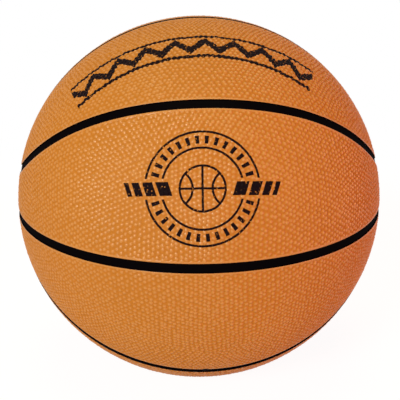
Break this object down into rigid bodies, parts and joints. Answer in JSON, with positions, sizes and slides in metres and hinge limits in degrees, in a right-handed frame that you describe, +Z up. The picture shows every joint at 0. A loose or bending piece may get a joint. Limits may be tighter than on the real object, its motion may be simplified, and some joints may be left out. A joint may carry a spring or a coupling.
{
  "type": "basketball",
  "caption": "Inflated ball with pebbled rubber cover panels, recessed black seams, wound inner layers and a self-sealing needle valve.",
  "frame": {"origin": "centre of the ball", "axes": "+Z up, the level seam in the plane of X and Y, the upright seam in the plane of X and Z, -Y the pictured side"},
  "size_m": [0.2228, 0.2228, 0.2228],
  "materials": {
    "panel_rubber": "satin, moulded pebbles",
    "seam_rubber": "smooth, slight sheen",
    "carcass_rubber": "matt",
    "bladder_rubber": "smooth butyl",
    "valve_rubber": "matt",
    "winding_thread": "wound nylon thread"
  },
  "bodies": {
    "root": {"bladder": "bladder_rubber", "valve_seat": "valve_rubber", "valve_plug": "valve_rubber", "nylon_winding": "winding_thread", "carcass": "carcass_rubber", "panel_front_upper_middle": "panel_rubber", "panel_front_upper_cap": "panel_rubber", "panel_front_lower_middle": "panel_rubber", "panel_front_lower_cap": "panel_rubber", "panel_back_upper_middle": "panel_rubber", "panel_back_upper_cap": "panel_rubber", "panel_back_lower_middle": "panel_rubber", "panel_back_lower_cap": "panel_rubber", "seam_level_ring": "seam_rubber", "seam_upper_loop": "seam_rubber", "seam_lower_loop": "seam_rubber", "seam_top_arc": "seam_rubber", "seam_bottom_arc": "seam_rubber", "seam_right_upper_arc": "seam_rubber", "seam_right_lower_arc": "seam_rubber", "seam_left_upper_arc": "seam_rubber", "seam_left_lower_arc": "seam_rubber"}
  },
  "joints": []
}
